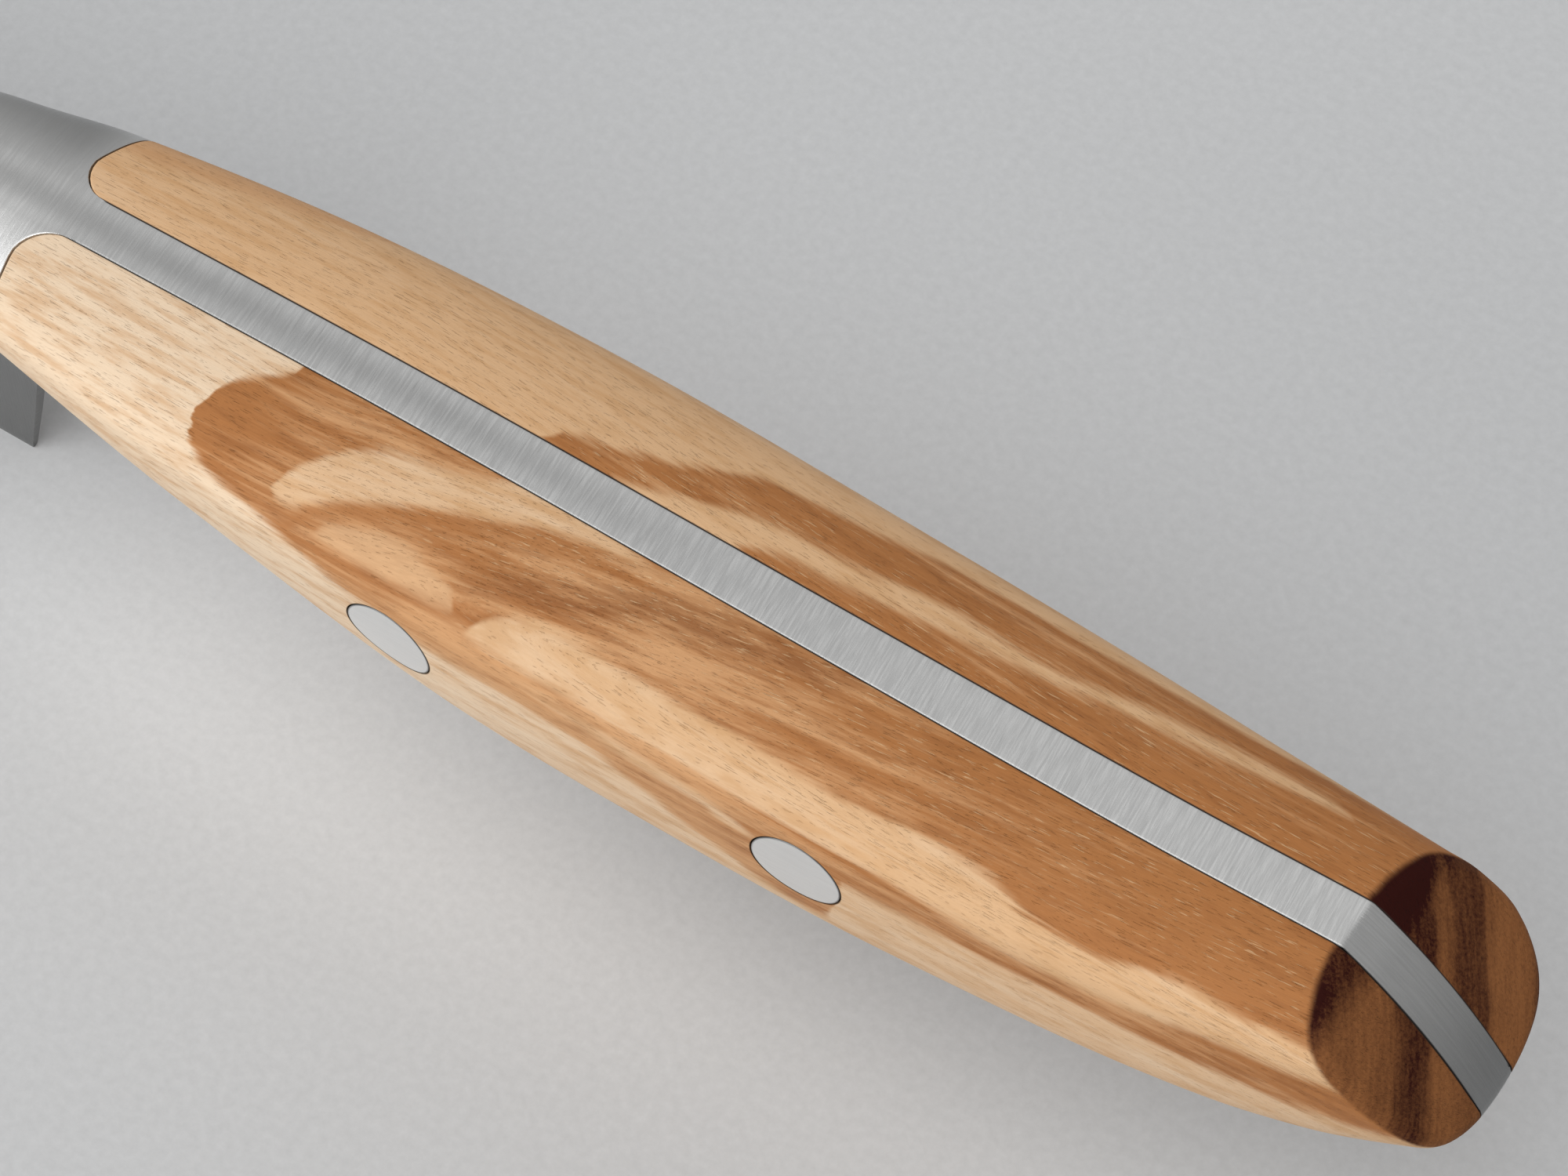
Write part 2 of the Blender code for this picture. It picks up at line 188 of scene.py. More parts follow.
class Section:
    """The handle's cross-section at one distance from the butt corner.

    Angles run from 0 at the widest line, up to a quarter turn at the spine and down
    to minus a quarter turn at the belly.
    """

    def __init__(self, x):
        self.x = x
        self.top = smooth_value(SPINE_HEIGHT, x)
        depth = smooth_value(HANDLE_DEPTH, x) + self.top + CROWN_RISE
        self.shoulder = smooth_value(SHOULDER_SHARE, x) * depth
        self.lower = depth - self.shoulder
        self.widest_z = self.top + CROWN_RISE - self.shoulder
        self.widest = smooth_value(HALF_WIDTH, x)
        self.fullness = smooth_value(BELLY_FULLNESS, x)
        self.belly = min(BELLY_HALF_WIDTH, self.widest)
        self.lean = max(self.widest - BELLY_HALF_WIDTH, 0.0)
        self.narrowing = min(1.0, self.widest / NARROWS_BELOW)

    def half(self, angle):
        """Half width at an angle."""
        if angle > 0:
            return self.widest * max(math.cos(angle), 0.0) ** (2 / SHOULDER_EXPONENT)
        down = min(-math.sin(angle), 1.0)
        keel = self.belly * math.sqrt(1 - down**BELLY_EXPONENT)
        return keel + self.lean * math.sqrt(1 - down * down) ** (2 / self.fullness)

    def point(self, angle):
        """Point of the left side at an angle, in millimetres from the butt corner."""
        if angle > 0:
            z = self.widest_z + self.shoulder * math.sin(angle) ** (2 / SHOULDER_EXPONENT)
        else:
            z = self.widest_z + self.lower * math.sin(angle)
        return Vector((self.x, self.half(angle), min(z, self.top)))

    def angle_for(self, half, below):
        """Angle at which the left side has this half width."""
        if half <= 0:
            return -math.pi / 2 if below else math.pi / 2
        if not below:
            return math.acos(min(half / self.widest, 1.0) ** (SHOULDER_EXPONENT / 2))
        near = 0.0
        far = -math.pi / 2
        for _ in range(SEARCH_STEPS):
            middle = (near + far) / 2
            if self.half(middle) > half:
                near = middle
            else:
                far = middle
        return (near + far) / 2

    def half_at_height(self, z):
        """Half width at a height."""
        if z > self.widest_z:
            share = min((z - self.widest_z) / self.shoulder, 1.0)
            return self.widest * (1 - share**SHOULDER_EXPONENT) ** (1 / SHOULDER_EXPONENT)
        return self.half(-math.asin(min((self.widest_z - z) / self.lower, 1.0)))


# Rows of a side, from the tang's top edge round to its lower edge
EDGE_ROWS = (1.5, 1.53, 1.57, 1.63, 1.72, 1.85, 2.05, 2.35, 2.7, 3.1, 3.55, 4.0)
SIDE_ROWS = 84
LAST_ROW = 2 * (len(EDGE_ROWS) - 1) + SIDE_ROWS
STRIP_ROWS = (-1.5, -1.48, -1.44, -1.38, -1.25, -1.0, -0.6, -0.2,
              0.2, 0.6, 1.0, 1.25, 1.38, 1.44, 1.48, 1.5)


def row_point(x, row):
    """Point of the left side where a row crosses one distance from the butt."""
    section = Section(x)
    edge = len(EDGE_ROWS) - 1
    if row <= edge:
        return section.point(section.angle_for(EDGE_ROWS[row] * section.narrowing, False))
    if row >= LAST_ROW - edge:
        half = EDGE_ROWS[LAST_ROW - row] * section.narrowing
        return section.point(section.angle_for(half, True))
    upper = section.angle_for(EDGE_ROWS[-1] * section.narrowing, False)
    lower = section.angle_for(EDGE_ROWS[-1] * section.narrowing, True)
    return section.point(upper + (lower - upper) * (row - edge) / SIDE_ROWS)


def strip_point(x, half, below):
    """Point of the spine or the belly at a distance from the middle."""
    section = Section(x)
    point = section.point(section.angle_for(abs(half) * section.narrowing, below))
    point.y = half * section.narrowing
    return point


def facet_crossing(place):
    """Distance along the handle at which a line along it meets the facet's plane."""
    behind = FORM_START
    ahead = FACET_RUN
    for _ in range(SEARCH_STEPS):
        middle = (behind + ahead) / 2
        if place(middle).z * FACET_RUN > middle * FACET_DROP:
            behind = middle
        else:
            ahead = middle
    return (behind + ahead) / 2


def front_line(y, gap):
    """Plan view of a scale's front, a fillet by the tang and then a slant."""
    centre = HALF_TANG + FRONT_FILLET
    start = SCALE_FRONT + gap
    if y < centre:
        return start - FRONT_FILLET + math.sqrt(max(FRONT_FILLET**2 - (centre - y) ** 2, 0.0))
    return start - FRONT_SLANT * (y - centre) / (SLANT_REACH - centre)


def front_crossing(row, gap):
    """Distance along the handle at which a row meets the scale's front."""
    behind = FRONT_SEARCH_FROM
    ahead = FRONT_SEARCH_TO
    for _ in range(SEARCH_STEPS):
        middle = (behind + ahead) / 2
        if middle < front_line(row_point(middle, row).y, gap):
            behind = middle
        else:
            ahead = middle
    return (behind + ahead) / 2


FACET_CHORD = math.hypot(FACET_RUN, FACET_DROP)
FACET_DOWN = Vector((-FACET_RUN, 0.0, -FACET_DROP)) / FACET_CHORD
FACET_OUT = Vector((-FACET_DROP, 0.0, FACET_RUN)) / FACET_CHORD


def bulged(point, nearness):
    """Push a point of the facet out into its slight dome."""
    share = point.dot(FACET_DOWN) / FACET_CHORD
    if not 0 < share < 1:
        return point
    side_share = min(abs(point.y) / FACET_HALF_WIDTH, 1.0)
    rise = FACET_BULGE + (FACET_BORDER_BULGE - FACET_BULGE) * side_share**2
    return point + 4 * rise * share * (1 - share) * nearness * FACET_OUT


def clamped(share):
    """Keep a share between 0 and 1."""
    return min(max(share, 0.0), 1.0)


def rounded(before, corner, after, share):
    """Point on the soft arc that replaces a sharp corner."""
    return before * (1 - share) ** 2 + corner * 2 * share * (1 - share) + after * share**2


def broken(distance, depth, width):
    """How far a broken edge falls away at a distance from the joint."""
    if distance >= width:
        return 0.0
    return depth * (1 - math.sqrt(1 - (1 - max(distance, 0.0) / width) ** 2))


def outward(point):
    """Direction out of the handle's middle line to a point of its surface."""
    return Vector((0.0, point.y, point.z + MIDDLE_DEPTH)).normalized()


def sheet(columns, rows, place):
    """A grid of faces whose points are set one by one, returned with its rows of points."""
    bm = bmesh.new()
    made = bmesh.ops.create_grid(bm, x_segments=columns - 1, y_segments=rows - 1, size=1.0)
    ordered = sorted(made["verts"], key=lambda vert: (round(vert.co.y, 6), vert.co.x))
    grid = [ordered[row * columns:(row + 1) * columns] for row in range(rows)]
    for row, line in enumerate(grid):
        for column, vert in enumerate(line):
            vert.co = place(column, row)
    return bm, grid


def to_object(bm, name):
    """Set the mesh down in the knife's place and make it an object."""
    bmesh.ops.remove_doubles(bm, verts=bm.verts, dist=MERGE_DISTANCE)
    bmesh.ops.recalc_face_normals(bm, faces=bm.faces)
    bmesh.ops.scale(bm, vec=(MM, MM, MM), verts=bm.verts)
    bmesh.ops.translate(bm, vec=CORNER, verts=bm.verts)
    mesh = bpy.data.meshes.new(name)
    bm.to_mesh(mesh)
    bm.free()
    obj = bpy.data.objects.new(name, mesh)
    bpy.context.scene.collection.objects.link(obj)
    return obj


def add_mesh(bm, other):
    """Bring another bmesh's faces into this one."""
    spare = bpy.data.meshes.new("spare")
    other.to_mesh(spare)
    other.free()
    bm.from_mesh(spare)
    bpy.data.meshes.remove(spare)


def mirrored(bm):
    """A copy of the faces on the other side of the knife."""
    copy = bm.copy()
    bmesh.ops.scale(copy, vec=(1.0, -1.0, 1.0), verts=copy.verts)
    bmesh.ops.reverse_faces(copy, faces=copy.faces)
    return copy


def fill_holes(bm):
    """Close every opening with one face."""
    bmesh.ops.holes_fill(bm, edges=[edge for edge in bm.edges if edge.is_boundary], sides=0)


def close_between(bm, upper, lower):
    """Close the opening between two lines of points, then any hole left at their ends."""
    for k in range(len(upper) - 1):
        bm.faces.new((upper[k], upper[k + 1], lower[k + 1], lower[k]))
    fill_holes(bm)


def apply_boolean(obj, operation, cutter):
    """Cut or join with another object, which is then thrown away."""
    modifier = obj.modifiers.new(operation, "BOOLEAN")
    modifier.operation = operation
    modifier.solver = "EXACT"
    modifier.object = cutter
    finished = obj.evaluated_get(bpy.context.evaluated_depsgraph_get())
    mesh = bpy.data.meshes.new_from_object(finished)
    mesh.name = obj.name
    obj.modifiers.clear()
    obj.data = mesh
    bpy.data.objects.remove(cutter)


def smooth_faces(obj, sharp_degrees):
    """Shade smooth, with crisp edges where two faces meet at more than this angle."""
    mesh = obj.data
    mesh.polygons.foreach_set("use_smooth", [True] * len(mesh.polygons))
    mesh.set_sharp_from_angle(angle=math.radians(sharp_degrees))
    mesh.update()


# Scales of olive wood
def scale_blank():
    """The left scale's closed body before its rivet holes are bored."""
    arc_steps = 6
    facet_steps = 10
    body_steps = 215
    into_wood = Vector((0.0, 2.0, 0.0))
    front_places = (0.0, 0.015, 0.05, 0.1, 0.18)
    backs = [facet_crossing(lambda x, r=row: row_point(x, r)) for row in range(LAST_ROW + 1)]
    fronts = [front_crossing(row, 0.0) for row in range(LAST_ROW + 1)]
    corners = [row_point(back, row) for row, back in enumerate(backs)]
    middle = (corners[0] + corners[LAST_ROW]) / 2 + into_wood
    inner = []
    for row, corner in enumerate(corners):
        along = corners[min(row + 1, LAST_ROW)] - corners[max(row - 1, 0)]
        inward = along.cross(FACET_OUT).normalized()
        if inward.dot(middle - corner) < 0:
            inward = -inward
        place = corner + inward * WOOD_EDGE_ROUND
        place.y = max(place.y, HALF_TANG)
        inner.append(place)
    inner[0] = corners[0] + FACET_DOWN * WOOD_EDGE_ROUND
    inner[LAST_ROW] = corners[LAST_ROW] - FACET_DOWN * WOOD_EDGE_ROUND
    tang_line = [inner[0].lerp(inner[LAST_ROW], row / LAST_ROW) for row in range(LAST_ROW + 1)]

    def place(column, row):
        if column < facet_steps:
            point = tang_line[row].lerp(inner[row], column / facet_steps)
            point = bulged(point, 1.0)
            return point - FACET_OUT * broken(point.y - HALF_TANG, *TANG_BREAK)
        ahead = row_point(backs[row] + WOOD_EDGE_ROUND, row)
        if column <= facet_steps + arc_steps:
            share = (column - facet_steps) / arc_steps
            point = bulged(rounded(inner[row], corners[row], ahead, share), (1 - share) ** 2)
        else:
            start = backs[row] + WOOD_EDGE_ROUND
            steps_left = body_steps - (column - facet_steps - arc_steps)
            if steps_left < len(front_places):
                x = fronts[row] - front_places[steps_left]
            else:
                length = fronts[row] - front_places[-1] - start
                share = (column - facet_steps - arc_steps) / (body_steps - len(front_places) + 1)
                x = start + length * share
            point = row_point(x, row)
            point -= outward(point) * broken(fronts[row] - x, *FRONT_BREAK)
        fall = broken(point.y - HALF_TANG, *TANG_BREAK)
        lower_half = row > LAST_ROW // 2
        return point + Vector((0.0, 0.0, fall if lower_half else -fall))

    columns = facet_steps + arc_steps + body_steps + 1
    bm, grid = sheet(columns, LAST_ROW + 1, place)
    half_way = LAST_ROW // 2
    upper = grid[0] + [grid[row][-1] for row in range(1, half_way)]
    lower = grid[LAST_ROW] + [grid[LAST_ROW - row][-1] for row in range(1, half_way)]
    close_between(bm, upper, lower)
    return bm


def lean_butt(bm, side):
    """Lean the hand-finished butt a little towards the right side."""
    for vert in bm.verts:
        near = clamped(1.0 + vert.co.dot(FACET_OUT) / LEAN_REACH) ** 2
        outer = clamped((abs(vert.co.y) - HALF_TANG) / LEAN_GROWS_OVER)
        low = clamped((vert.co.dot(FACET_DOWN) - LEAN_STARTS) / LEAN_GROWS_OVER)
        if side > 0:
            lean = LEFT_LEAN + LEFT_LOW_LEAN * low
        else:
            lean = RIGHT_LOW_LEAN * low * low * (3.0 - 2.0 * low)
        vert.co.y -= lean * near * outer


def turned(profile, x, z, side):
    """Turn a profile of (radius, distance from the middle) points about a rivet's axis."""
    bm = bmesh.new()
    corners = [bm.verts.new((radius, distance, 0.0)) for radius, distance in profile]
    lines = [bm.edges.new(pair) for pair in zip(corners, corners[1:])]
    bmesh.ops.spin(
        bm,
        geom=corners + lines,
        axis=(0.0, 1.0, 0.0),
        cent=(0.0, 0.0, 0.0),
        angle=2 * math.pi,
        steps=RIVET_SIDES,
        use_merge=True,
    )
    bmesh.ops.scale(bm, vec=(1.0, side, 1.0), verts=bm.verts)
    bmesh.ops.translate(bm, vec=(x, 0.0, z), verts=bm.verts)
    return bm


def rivet_hole_profile():
    """Stepped hole for a rivet's head and shank."""
    shank = TUBE_RADIUS + CLEARANCE
    head = HEAD_RADIUS + CLEARANCE
    seat = HEAD_SEAT - CLEARANCE
    return ((0.0, 0.0), (shank, 0.0), (shank, seat), (head, seat), (head, RIVET_REACH),
            (0.0, RIVET_REACH))


scales = {}
for side, label in ((1, "left"), (-1, "right")):
    blank = scale_blank()
    if side < 0:
        bmesh.ops.scale(blank, vec=(1.0, -1.0, 1.0), verts=blank.verts)
    lean_butt(blank, side)
    scale = to_object(blank, f"{label}_olive_scale")
    for x, z in RIVET_PLACES:
        hole = turned(rivet_hole_profile(), x, z, side)
        apply_boolean(scale, "DIFFERENCE", to_object(hole, "rivet_hole"))
    smooth_faces(scale, WOOD_CREASE)
    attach(scale, "root")
    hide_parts(f"{label}_scale")
    scales[label] = scale


# Rivets, each a tube half on the left and a pin half on the right
def rivet_half(number, x, z, side):
    """One half of a rivet, with its head ground flush to the handle."""
    head = [(radius, RIVET_REACH) for radius in HEAD_RINGS]
    if side > 0:
        bore = PIN_RADIUS + BORE_CLEARANCE
        shank = [(0.0, HEAD_SEAT), (bore, HEAD_SEAT), (bore, TUBE_END), (TUBE_RADIUS, TUBE_END),
                 (TUBE_RADIUS, HEAD_SEAT), (HEAD_RADIUS, HEAD_SEAT)]
    else:
        shank = [(0.0, PIN_END), (PIN_RADIUS, PIN_END), (PIN_RADIUS, HEAD_SEAT),
                 (HEAD_RADIUS, HEAD_SEAT)]
    bm = turned(shank + head[::-1], x, z, side)
    for vert in bm.verts:
        if abs(vert.co.y) > (HEAD_SEAT + RIVET_REACH) / 2:
            radius = math.hypot(vert.co.x - x, vert.co.z - z)
            rim = broken(HEAD_RADIUS - radius, *HEAD_BREAK)
            vert.co.y = side * (Section(vert.co.x).half_at_height(vert.co.z) - rim)
    kind = "tube" if side > 0 else "pin"
    half = to_object(bm, f"rivet_{number}_{kind}")
    smooth_faces(half, RIVET_CREASE)
    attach(half, "root")
    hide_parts(f"rivet_{number}_{kind}_half")
    return half


rivets = []
for number, (x, z) in enumerate(RIVET_PLACES, start=1):
    for side in (1, -1):
        rivets.append(rivet_half(number, x, z, side))


# Forging: tang, bolster and blade in one piece
def bolster_places(start):
    """Distances along the bolster, close together by the joint with the scale."""
    places = [start + step for step in BOLSTER_EDGE]
    rest = BOLSTER_STEPS - len(BOLSTER_EDGE) + 1
    first = places[-1]
    places += [first + (FORM_END - first) * k / rest for k in range(1, rest + 1)]
    return places


def bolster_side():
    """Left side of the bolster, ahead of the scale."""
    fronts = [bolster_places(front_crossing(row, FRONT_GAP)) for row in range(LAST_ROW + 1)]

    def place(column, row):
        point = row_point(fronts[row][column], row)
        from_tang = EDGE_ROWS[min(row, LAST_ROW - row, len(EDGE_ROWS) - 1)] - HALF_TANG
        if from_tang < STRIP_BREAK[1]:
            return point
        return point - outward(point) * broken(fronts[row][column] - fronts[row][0], *BOLSTER_BREAK)

    bm, grid = sheet(BOLSTER_STEPS + 1, LAST_ROW + 1, place)
    wall = [line[0] for line in grid]
    half_way = LAST_ROW // 2
    for k in range(half_way):
        low = LAST_ROW - k
        corners = (wall[k], wall[k + 1], wall[low - 1], wall[low])
        bm.faces.new(corners if k < half_way - 1 else corners[:2] + corners[3:])
    return bm


def forging_body():
    """Tang and bolster: one strip round the spine, butt and belly, and two bolster sides.

    The tang's flat sides and the bolster's front end are closed with one face each.
    """
    joint = front_line(HALF_TANG, FRONT_GAP)
    tang_steps = 150
    facet_steps = 12
    arc_steps = 4
    ahead = bolster_places(joint)

    def path(half):
        top_x = facet_crossing(lambda x: strip_point(x, half, False))
        low_x = facet_crossing(lambda x: strip_point(x, half, True))
        top = strip_point(top_x, half, False)
        low = strip_point(low_x, half, True)
        points = [strip_point(x, half, True) for x in reversed(ahead)]
        back = low_x + WOOD_EDGE_ROUND
        points += [strip_point(joint + (back - joint) * k / tang_steps, half, True)
                   for k in range(1, tang_steps + 1)]
        facet_low = low - FACET_DOWN * WOOD_EDGE_ROUND
        facet_top = top + FACET_DOWN * STEEL_EDGE_ROUND
        points += [bulged(rounded(points[-1], low, facet_low, k / arc_steps), (k / arc_steps) ** 2)
                   for k in range(1, arc_steps + 1)]
        points += [bulged(facet_low.lerp(facet_top, k / facet_steps), 1.0)
                   for k in range(1, facet_steps + 1)]
        back = top_x + STEEL_EDGE_ROUND
        start = strip_point(back, half, False)
        points += [bulged(rounded(facet_top, top, start, k / arc_steps), (1 - k / arc_steps) ** 2)
                   for k in range(1, arc_steps + 1)]
        points += [strip_point(back + (joint - back) * k / tang_steps, half, False)
                   for k in range(1, tang_steps)]
        points += [strip_point(x, half, False) for x in ahead]
        for k, point in enumerate(points):
            fall = broken(HALF_TANG - abs(half), *STRIP_BREAK)
            fall *= clamped((joint - point.x) / BREAK_FADE)
            toward = TANG_MIDDLE - point
            toward.y = 0.0
            if point.x >= 0:
                toward.x = 0.0
            points[k] = point + toward.normalized() * fall
        return points

    paths = [path(half) for half in STRIP_ROWS]
    bm, _ = sheet(len(paths[0]), len(STRIP_ROWS), lambda column, row: paths[row][column])
    side = bolster_side()
    add_mesh(bm, mirrored(side))
    add_mesh(bm, side)
    bmesh.ops.remove_doubles(bm, verts=bm.verts, dist=MERGE_DISTANCE)
    fill_holes(bm)
    return bm


def edge_height(x):
    """Height of the cutting edge."""
    share = max(x - BELLY_START_X, 0.0) / (POINT_X - BELLY_START_X)
    return POINT_RISE * share**BELLY_POWER - HEEL_DEPTH


def back_height(x):
    """Height of the blade's back."""
    share = max(x - BLADE_SPINE_START_X, 0.0) / (POINT_X - BLADE_SPINE_START_X)
    drop = POINT_RISE + POINT_BLUNT - HEEL_DEPTH - BLADE_SPINE_START_Z
    return BLADE_SPINE_START_Z + drop * share**BLADE_SPINE_POWER


def blade_half(x, z):
    """Half the blade's thickness at one place."""
    return EDGE_HALF_THICKNESS + GRIND_PER_HEIGHT * (z + HEEL_DEPTH) - GRIND_PER_LENGTH * (x - HEEL_X)


def blade_body():
    """Flat ground blade with a softened back and a sharpened edge."""
    depth = HEEL_DEPTH + BLADE_SPINE_START_Z
    flat_start = BACK_ROWS[-1][0]
    rows = list(BACK_ROWS)
    rows += [(flat_start + (FLAT_END - flat_start) * k / FLAT_ROWS, 0.0)
             for k in range(1, FLAT_ROWS + 1)]
    rows.append((1.0, 0.0))
    count = len(rows)

    def place(column, row):
        left = row < count
        share, fall = rows[count - 1 - row if left else row - count]
        start = smooth_value(BLADE_ROOT, BLADE_SPINE_START_Z - share * depth)
        x = start + (POINT_X - start) * column / BLADE_COLUMNS
        z = back_height(x) * (1 - share) + edge_height(x) * share
        half = EDGE_FLAT_HALF if share == 1.0 else blade_half(x, z) - fall
        return Vector((x, half if left else -half, z))

    bm, grid = sheet(BLADE_COLUMNS + 1, 2 * count, place)
    for column in (0, BLADE_COLUMNS):
        left = [line[column] for line in grid[:count]]
        right = [line[column] for line in reversed(grid[count:])]
        for k in range(count - 1):
            bm.faces.new((left[k], left[k + 1], right[k + 1], right[k]))
    close_between(bm, grid[0], grid[-1])
    return bm


def soften_root(forging):
    """Blend the bolster into the flats of the blade."""
    bm = bmesh.new()
    bm.from_mesh(forging.data)
    near = []
    for vert in bm.verts:
        place = (vert.co - CORNER) / MM
        depth = abs(place.y) - blade_half(place.x, place.z)
        spans = ((place.x, ROOT_SPAN), (place.z, ROOT_HEIGHTS), (depth, ROOT_DEPTHS))
        if all(low < value < high for value, (low, high) in spans):
            near.append(vert)
    for _ in range(ROOT_PASSES):
        bmesh.ops.smooth_vert(bm, verts=near, factor=0.5, use_axis_x=False, use_axis_y=True,
                              use_axis_z=False)
    bm.to_mesh(forging.data)
    bm.free()


forging = to_object(forging_body(), "steel_forging")
for x, z in RIVET_PLACES:
    reach = 2 * HALF_TANG
    shank = TUBE_RADIUS + CLEARANCE
    bore = turned(((0.0, -reach), (shank, -reach), (shank, reach), (0.0, reach)), x, z, 1)
    apply_boolean(forging, "DIFFERENCE", to_object(bore, "shank_bore"))
apply_boolean(forging, "UNION", to_object(blade_body(), "blade_blank"))
soften_root(forging)
smooth_faces(forging, STEEL_CREASE)
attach(forging, "root")
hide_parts("blade_forging")


class Socket:
    """One value in a material's node tree, with arithmetic."""

    def __init__(self, finish, socket):
        self.finish = finish
        self.socket = socket

    def math(self, operation, *others):
        """The result of an operation on this value and others."""
        return self.finish.node("ShaderNodeMath", {"operation": operation}, (self, *others))

    def __add__(self, other):
        return self.math("ADD", other)

    def __radd__(self, other):
        return self.math("ADD", other)

    def __sub__(self, other):
        return self.math("SUBTRACT", other)

    def __rsub__(self, other):
        return self.finish.node("ShaderNodeMath", {"operation": "SUBTRACT"}, (other, self))

    def __mul__(self, other):
        return self.math("MULTIPLY", other)

    def __rmul__(self, other):
        return self.math("MULTIPLY", other)

    def size(self):
        """The value without its sign."""
        return self.math("ABSOLUTE")

    def rise(self, start, end):
        """Nought before the start, one past the end and smooth between them."""
        return self.finish.node(
            "ShaderNodeMapRange",
            {"interpolation_type": "SMOOTHSTEP"},
            (self, start, end, 0.0, 1.0),
        )

    def fall(self, start, end):
        """One before the start, nought past the end and smooth between them."""
        return self.finish.node(
            "ShaderNodeMapRange",
            {"interpolation_type": "SMOOTHSTEP"},
            (self, start, end, 1.0, 0.0),
        )


class Finish:
    """A material under way, which knows its place in millimetres from the butt corner."""

    def __init__(self, name):
        self.material = bpy.data.materials.new(name)
        self.material.use_nodes = True
        self.tree = self.material.node_tree
        self.shader = self.tree.nodes["Principled BSDF"]
        place = self.node("ShaderNodeTexCoord", output="Object")
        moved = self.node("ShaderNodeVectorMath", {"operation": "SUBTRACT"}, (place, CORNER))
        scaled = self.node("ShaderNodeVectorMath", {"operation": "SCALE"},
                           {"Vector": moved, "Scale": 1 / MM})
        self.x, self.y, self.z = [self.node("ShaderNodeSeparateXYZ", inputs=(scaled,), output=axis)
                                  for axis in "XYZ"]

    def node(self, kind, settings=None, inputs=(), output=0):
        """Add a node with its settings and inputs, and return one of its outputs."""
        made = self.tree.nodes.new(kind)
        for name, value in (settings or {}).items():
            setattr(made, name, value)
        pairs = inputs.items() if isinstance(inputs, dict) else enumerate(inputs)
        for key, value in pairs:
            if isinstance(value, Socket):
                self.tree.links.new(value.socket, made.inputs[key])
            else:
                made.inputs[key].default_value = value
        return Socket(self, made.outputs[output])

    def along(self, direction):
        """Distance from the butt corner along a direction in the knife's middle plane."""
        return self.x * direction.x + self.z * direction.z

    def radius(self, x, z):
        """Distance from a rivet's axis."""
        across = self.x - x
        down = self.z - z
        return (across * across + down * down).math("SQRT")

    def noise(self, x, y, z=0.0, detail=2.0, roughness=0.5):
        """Cloudy noise from 0 to 1 over a place given by its three coordinates."""
        place = self.node("ShaderNodeCombineXYZ", inputs=(x, y, z))
        return self.node("ShaderNodeTexNoise", inputs={
            "Vector": place, "Scale": 1.0, "Detail": detail, "Roughness": roughness})

    def table(self, value, knots):
        """Size read from a table of (place, size) knots."""
        places = [knot[0] for knot in knots]
        sizes = [knot[1] for knot in knots]
        first, last = places[0], places[-1]
        low, high = min(sizes), max(sizes)
        made = self.tree.nodes.new("ShaderNodeFloatCurve")
        curve = made.mapping.curves[0]
        shares = [((at - first) / (last - first), (size - low) / (high - low))
                  for at, size in knots]
        curve.points[0].location = shares[0]
        curve.points[1].location = shares[-1]
        for share in shares[1:-1]:
            curve.points.new(*share)
        for point in curve.points:
            point.handle_type = "AUTO_CLAMPED"
        made.mapping.update()
        along = (value - first) * (1 / (last - first))
        self.tree.links.new(along.socket, made.inputs["Value"])
        return Socket(self, made.outputs["Value"]) * (high - low) + low

    def mix(self, share, first, second, blend="MIX"):
        """Mix two colours."""
        first, second = [(*colour, 1.0) if isinstance(colour, tuple) else colour
                         for colour in (first, second)]
        return self.node("ShaderNodeMix", {"data_type": "RGBA", "blend_type": blend},
                         {0: share, 6: first, 7: second}, output=2)

    def finished(self, colour, roughness, bump, depth):
        """Join the values to the shader."""
        self.tree.links.new(colour.socket, self.shader.inputs["Base Color"])
        self.tree.links.new(roughness.socket, self.shader.inputs["Roughness"])
        bumped = self.node("ShaderNodeBump", inputs={
            "Strength": 1.0, "Distance": depth * MM, "Height": bump})
        self.tree.links.new(bumped.socket, self.shader.inputs["Normal"])
        return self.material


# Olive wood. Places on the wood are the distance from the butt corner and the distance
# down the side from the tang, both in millimetres.
CREAM = (0.76, 0.59, 0.42)
PALE = (0.65, 0.41, 0.225)
PALE_TAN = (0.53, 0.29, 0.125)
TAN_DARK = (0.42, 0.205, 0.08)
BROWN = (0.38, 0.155, 0.05)
BROWN_LIGHT = (0.56, 0.30, 0.14)
BROWN_DARK = (0.25, 0.09, 0.026)
# Colour of the painted glints, painted highlights on the wood's pores
PAINTED_GLINT = (0.80, 0.58, 0.34)
END_DARK = (0.026, 0.002, 0.0005)
END_MID = (0.268, 0.104, 0.034)
# Colour of the painted shade in the gaps at the joints
GAP_SHADE = (0.03, 0.02, 0.015)

